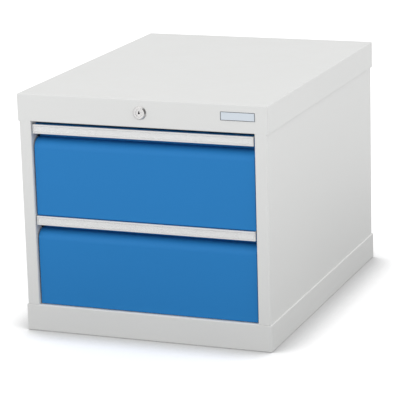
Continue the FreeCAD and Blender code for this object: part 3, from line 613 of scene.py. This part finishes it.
def addSlideBalls():
    steel = metalMaterial("ballSteel", ballSteel)
    radius, pitch = slideBalls["radius"], slideBalls["pitch"]
    for drawer in ("upper", "lower"):
        for which in ("outer", "inner"):
            cage = drawer + "_" + which + "_cages"
            inset = slideBalls[which + "Inset"]
            low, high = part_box(cage)
            start = (low.x + inset, (low.y + high.y) / 2 - pitch, low.z + slideBalls["fromEdge"])
            step = (high.x - low.x - 2 * inset, pitch, high.z - low.z - 2 * slideBalls["fromEdge"])
            bakeRounds(drawer + which.capitalize() + "Balls", cage, {
                "Start": start, "Step": step, "Along X": 2, "Along Y": 3, "Along Z": 2,
                "Size": (radius, radius, radius), "Fineness": slideBalls["fineness"],
                "Seed": slideBalls["seed"], "Finish": steel})


# round heads, sunk a little into the sheet they hold
rivetHead = {"radius": 0.0034, "height": 0.0011, "domeWidth": 0.78, "variation": 0.03, "fineness": 3}
backRivets = {"fromSide": 0.0125, "lowest": 0.110, "pitch": 0.084, "rows": 5, "seed": 11}
stripRivets = {"fromEnds": 0.020, "rows": 4, "sheet": 0.001, "seed": 12}


def addRivets(name, body, start, step, counts, turn, finish, seed):
    radius, height = rivetHead["radius"], rivetHead["height"]
    bakeRounds(name, body, {
        "Start": start, "Step": step,
        "Along X": counts[0], "Along Y": counts[1], "Along Z": counts[2],
        "Size": (radius, radius, height), "Turn": turn, "Collar": True,
        "Dome Width": rivetHead["domeWidth"], "Variation": rivetHead["variation"],
        "Fineness": rivetHead["fineness"], "Seed": seed, "Finish": finish})


def addAllRivets():
    low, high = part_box("back_panel")
    side = high.x - backRivets["fromSide"]
    addRivets("backRivets", "cabinet",
              (-side, high.y, backRivets["lowest"]), (2 * side, 0, backRivets["pitch"]),
              (2, 1, backRivets["rows"]), (math.radians(-90), 0, 0), cabinetGrey, backRivets["seed"])
    for drawer in ("upper", "lower"):
        low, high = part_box(drawer + "_divider_strips")
        face = high.x - stripRivets["sheet"]
        first = low.y + stripRivets["fromEnds"]
        pitch = (high.y - stripRivets["fromEnds"] - first) / (stripRivets["rows"] - 1)
        addRivets(drawer + "StripRivets", drawer + "_drawer",
                  (-face, first, (low.z + high.z) / 2), (2 * face, pitch, 0),
                  (2, stripRivets["rows"], 1), (0, math.radians(90), 0), trayGrey, stripRivets["seed"])


addSlideBalls()
addAllRivets()
print("balls and rivets in place")


# floor, world, lamps and camera

# the camera sees a white floor with a painted contact shadow round the cabinet; other rays find it
# painted darker near the cabinet, as painted shade under a light tent, and reflections find a dark
# screen at the front right, painted into the floor's colour and dimmer in the world's light
stage = {
    "floorSize": 30.0, "floorRoughness": 0.9, "floorShine": 0.1, "lift": 0.22,
    "nearShadeGrey": 0.36, "farGrey": 0.86, "nearFrom": 0.55, "farFrom": 1.5,
    "contactShadowWidth": 0.11, "contactShadowFrom": 0.45, "contactShadowGrey": 0.48,
    "skyStrength": 0.97, "sky": (0.99, 0.993, 1.0, 1),
    "screenWay": (0.8, -0.6, 0.0), "screenGrey": 0.12,
    "floorScreen": (1.0, 1.8), "worldScreen": (0.4, 0.65)}


# falls from white to the screen's grey along the way to it: a painted dark reflection on the floor, a
# dimmer light in the world
def addScreen(tree, place, reach):
    side = addNode(tree, "ShaderNodeVectorMath", place, {"operation": "DOT_PRODUCT"},
                   {1: stage["screenWay"]})
    screen = addRamp(tree, (place[0] + 200, place[1]), *reach, 1.0, stage["screenGrey"])
    tree.links.new(side.outputs["Value"], screen.inputs["Value"])
    return side, screen


def addFloor():
    half = stage["floorSize"] / 2
    mesh = bpy.data.meshes.new("floor")
    corners = [(-half, -half, 0), (half, -half, 0), (half, half, 0), (-half, half, 0)]
    mesh.from_pydata(corners, [], [(0, 1, 2, 3)])
    floor = bpy.data.objects.new("floor", mesh)
    bpy.context.scene.collection.objects.link(floor)
    material, tree, shader = newMaterial("paleFloor")
    link = tree.links.new
    rays = addNode(tree, "ShaderNodeLightPath", (-900, 300))
    coords = addNode(tree, "ShaderNodeTexCoord", (-1300, 0))
    distance = addNode(tree, "ShaderNodeVectorMath", (-1100, 0), {"operation": "LENGTH"})
    # painted shade: for rays other than the camera's the floor's grey is darker near the cabinet
    floorShadeGrey = addRamp(tree, (-900, 0), stage["nearFrom"], stage["farFrom"],
                   stage["nearShadeGrey"], stage["farGrey"])
    # painted contact shadow: an occlusion node darkens the floor's colour and its glow for camera rays
    # close to the cabinet
    corner = addNode(tree, "ShaderNodeAmbientOcclusion", (-1100, -300),
                     {"samples": 12}, {"Distance": stage["contactShadowWidth"]})
    paintedContactShadow = addRamp(tree, (-900, -300), stage["contactShadowFrom"], 1.0,
                      stage["contactShadowGrey"], 1.0, "SMOOTHSTEP")
    # painted dark reflection: for glossy rays the floor's grey is darkened towards the front right
    side, screen = addScreen(tree, (-1100, 150), stage["floorScreen"])
    paintedDarkReflection = addMath(tree, (-700, 50), "MULTIPLY")
    mirrored = addNode(tree, "ShaderNodeMix", (-600, 150), {"data_type": "FLOAT"})
    tone = addNode(tree, "ShaderNodeMix", (-500, 0), {"data_type": "FLOAT"})
    liftInShadow = addMath(tree, (-500, -250), "MULTIPLY")
    link(coords.outputs["Object"], distance.inputs[0])
    link(distance.outputs["Value"], floorShadeGrey.inputs["Value"])
    link(corner.outputs["AO"], paintedContactShadow.inputs["Value"])
    link(rays.outputs["Is Camera Ray"], tone.inputs["Factor"])
    link(coords.outputs["Object"], side.inputs[0])
    link(floorShadeGrey.outputs["Result"], paintedDarkReflection.inputs[0])
    link(screen.outputs["Result"], paintedDarkReflection.inputs[1])
    link(rays.outputs["Is Glossy Ray"], mirrored.inputs["Factor"])
    link(floorShadeGrey.outputs["Result"], mirrored.inputs["A"])
    link(paintedDarkReflection.outputs["Value"], mirrored.inputs["B"])
    link(mirrored.outputs["Result"], tone.inputs["A"])
    link(paintedContactShadow.outputs["Result"], tone.inputs["B"])
    link(paintedContactShadow.outputs["Result"], liftInShadow.inputs[0])
    link(rays.outputs["Is Camera Ray"], liftInShadow.inputs[1])
    link(tone.outputs["Result"], shader.inputs["Base Color"])
    link(liftInShadow.outputs["Value"], shader.inputs["Emission Color"])
    shader.inputs["Emission Strength"].default_value = stage["lift"]
    shader.inputs["Roughness"].default_value = stage["floorRoughness"]
    shader.inputs["Specular IOR Level"].default_value = stage["floorShine"]
    mesh.materials.append(material)


def lightWorld():
    world = bpy.data.worlds.new("paleStudio")
    bpy.context.scene.world = world
    world.use_nodes = True
    tree = world.node_tree
    tree.nodes.clear()
    rays = addNode(tree, "ShaderNodeLightPath", (-800, 300))
    firstTwo = addMath(tree, (-600, 300), "ADD", clamp=True)
    seen = addMath(tree, (-400, 300), "ADD", clamp=True)
    soft = addNode(tree, "ShaderNodeBackground", (-400, 0),
                   inputs={"Color": stage["sky"], "Strength": stage["skyStrength"]})
    white = addNode(tree, "ShaderNodeBackground", (-400, -200), inputs={"Color": (1, 1, 1, 1)})
    coords = addNode(tree, "ShaderNodeTexCoord", (-1200, -300))
    side, screen = addScreen(tree, (-1000, -300), stage["worldScreen"])
    strength = addNode(tree, "ShaderNodeMix", (-600, -250), {"data_type": "FLOAT"}, {"A": 1.0})
    blend = addNode(tree, "ShaderNodeMixShader", (-150, 0))
    out = addNode(tree, "ShaderNodeOutputWorld", (100, 0))
    link = tree.links.new
    link(rays.outputs["Is Camera Ray"], firstTwo.inputs[0])
    link(rays.outputs["Is Glossy Ray"], firstTwo.inputs[1])
    link(firstTwo.outputs["Value"], seen.inputs[0])
    link(rays.outputs["Is Transmission Ray"], seen.inputs[1])
    link(coords.outputs["Generated"], side.inputs[0])
    link(rays.outputs["Is Glossy Ray"], strength.inputs["Factor"])
    link(screen.outputs["Result"], strength.inputs["B"])
    link(strength.outputs["Result"], white.inputs["Strength"])
    link(seen.outputs["Value"], blend.inputs["Fac"])
    link(soft.outputs["Background"], blend.inputs[1])
    link(white.outputs["Background"], blend.inputs[2])
    link(blend.outputs["Shader"], out.inputs["Surface"])


lampAim = (0, 0, 0.25)
lamps = {
    "key": {"place": (-1.6, -3.1, 1.3), "size": 2.0, "power": 15.0, "mirrored": True},
    "fill": {"place": (3.3, -0.9, 1.4), "size": 2.0, "power": 14.0, "mirrored": False},
}


def addLamps():
    aim = Vector(lampAim)
    for name, lamp in lamps.items():
        light = bpy.data.lights.new(name, "AREA")
        light.size = lamp["size"]
        light.energy = lamp["power"]
        holder = bpy.data.objects.new(name, light)
        holder.location = lamp["place"]
        holder.visible_glossy = lamp["mirrored"]
        holder.rotation_euler = (aim - holder.location).to_track_quat("-Z", "Y").to_euler()
        bpy.context.scene.collection.objects.link(holder)


# measured from the photograph's corners: degrees, metres and millimetres of lens
view = {
    "azimuth": 21.43, "elevation": 14.56, "roll": -1.64, "distance": 4.6642,
    "aim": (-0.03385, 0.04477, 0.20089), "lens": 185.13, "sensor": 36.0, "farEnd": 60.0}


def addCamera():
    azimuth, elevation, roll = (math.radians(view[key]) for key in ("azimuth", "elevation", "roll"))
    back = Vector((math.sin(azimuth) * math.cos(elevation),
                   -math.cos(azimuth) * math.cos(elevation),
                   math.sin(elevation)))
    right = Vector((0, 0, 1)).cross(back).normalized()
    up = back.cross(right)
    turnedRight = right * math.cos(roll) + up * math.sin(roll)
    turnedUp = up * math.cos(roll) - right * math.sin(roll)
    place = Vector(view["aim"]) + back * view["distance"]
    lens = bpy.data.cameras.new("camera")
    lens.lens = view["lens"]
    lens.sensor_width = view["sensor"]
    lens.clip_end = view["farEnd"]
    camera = bpy.data.objects.new("camera", lens)
    axes = Matrix((turnedRight, turnedUp, back)).transposed().to_4x4()
    camera.matrix_world = Matrix.Translation(place) @ axes
    bpy.context.scene.collection.objects.link(camera)
    bpy.context.scene.camera = camera


addFloor()
lightWorld()
addLamps()
addCamera()
bpy.context.scene.view_settings.view_transform = "Standard"
print("stage, lamps and camera ready")
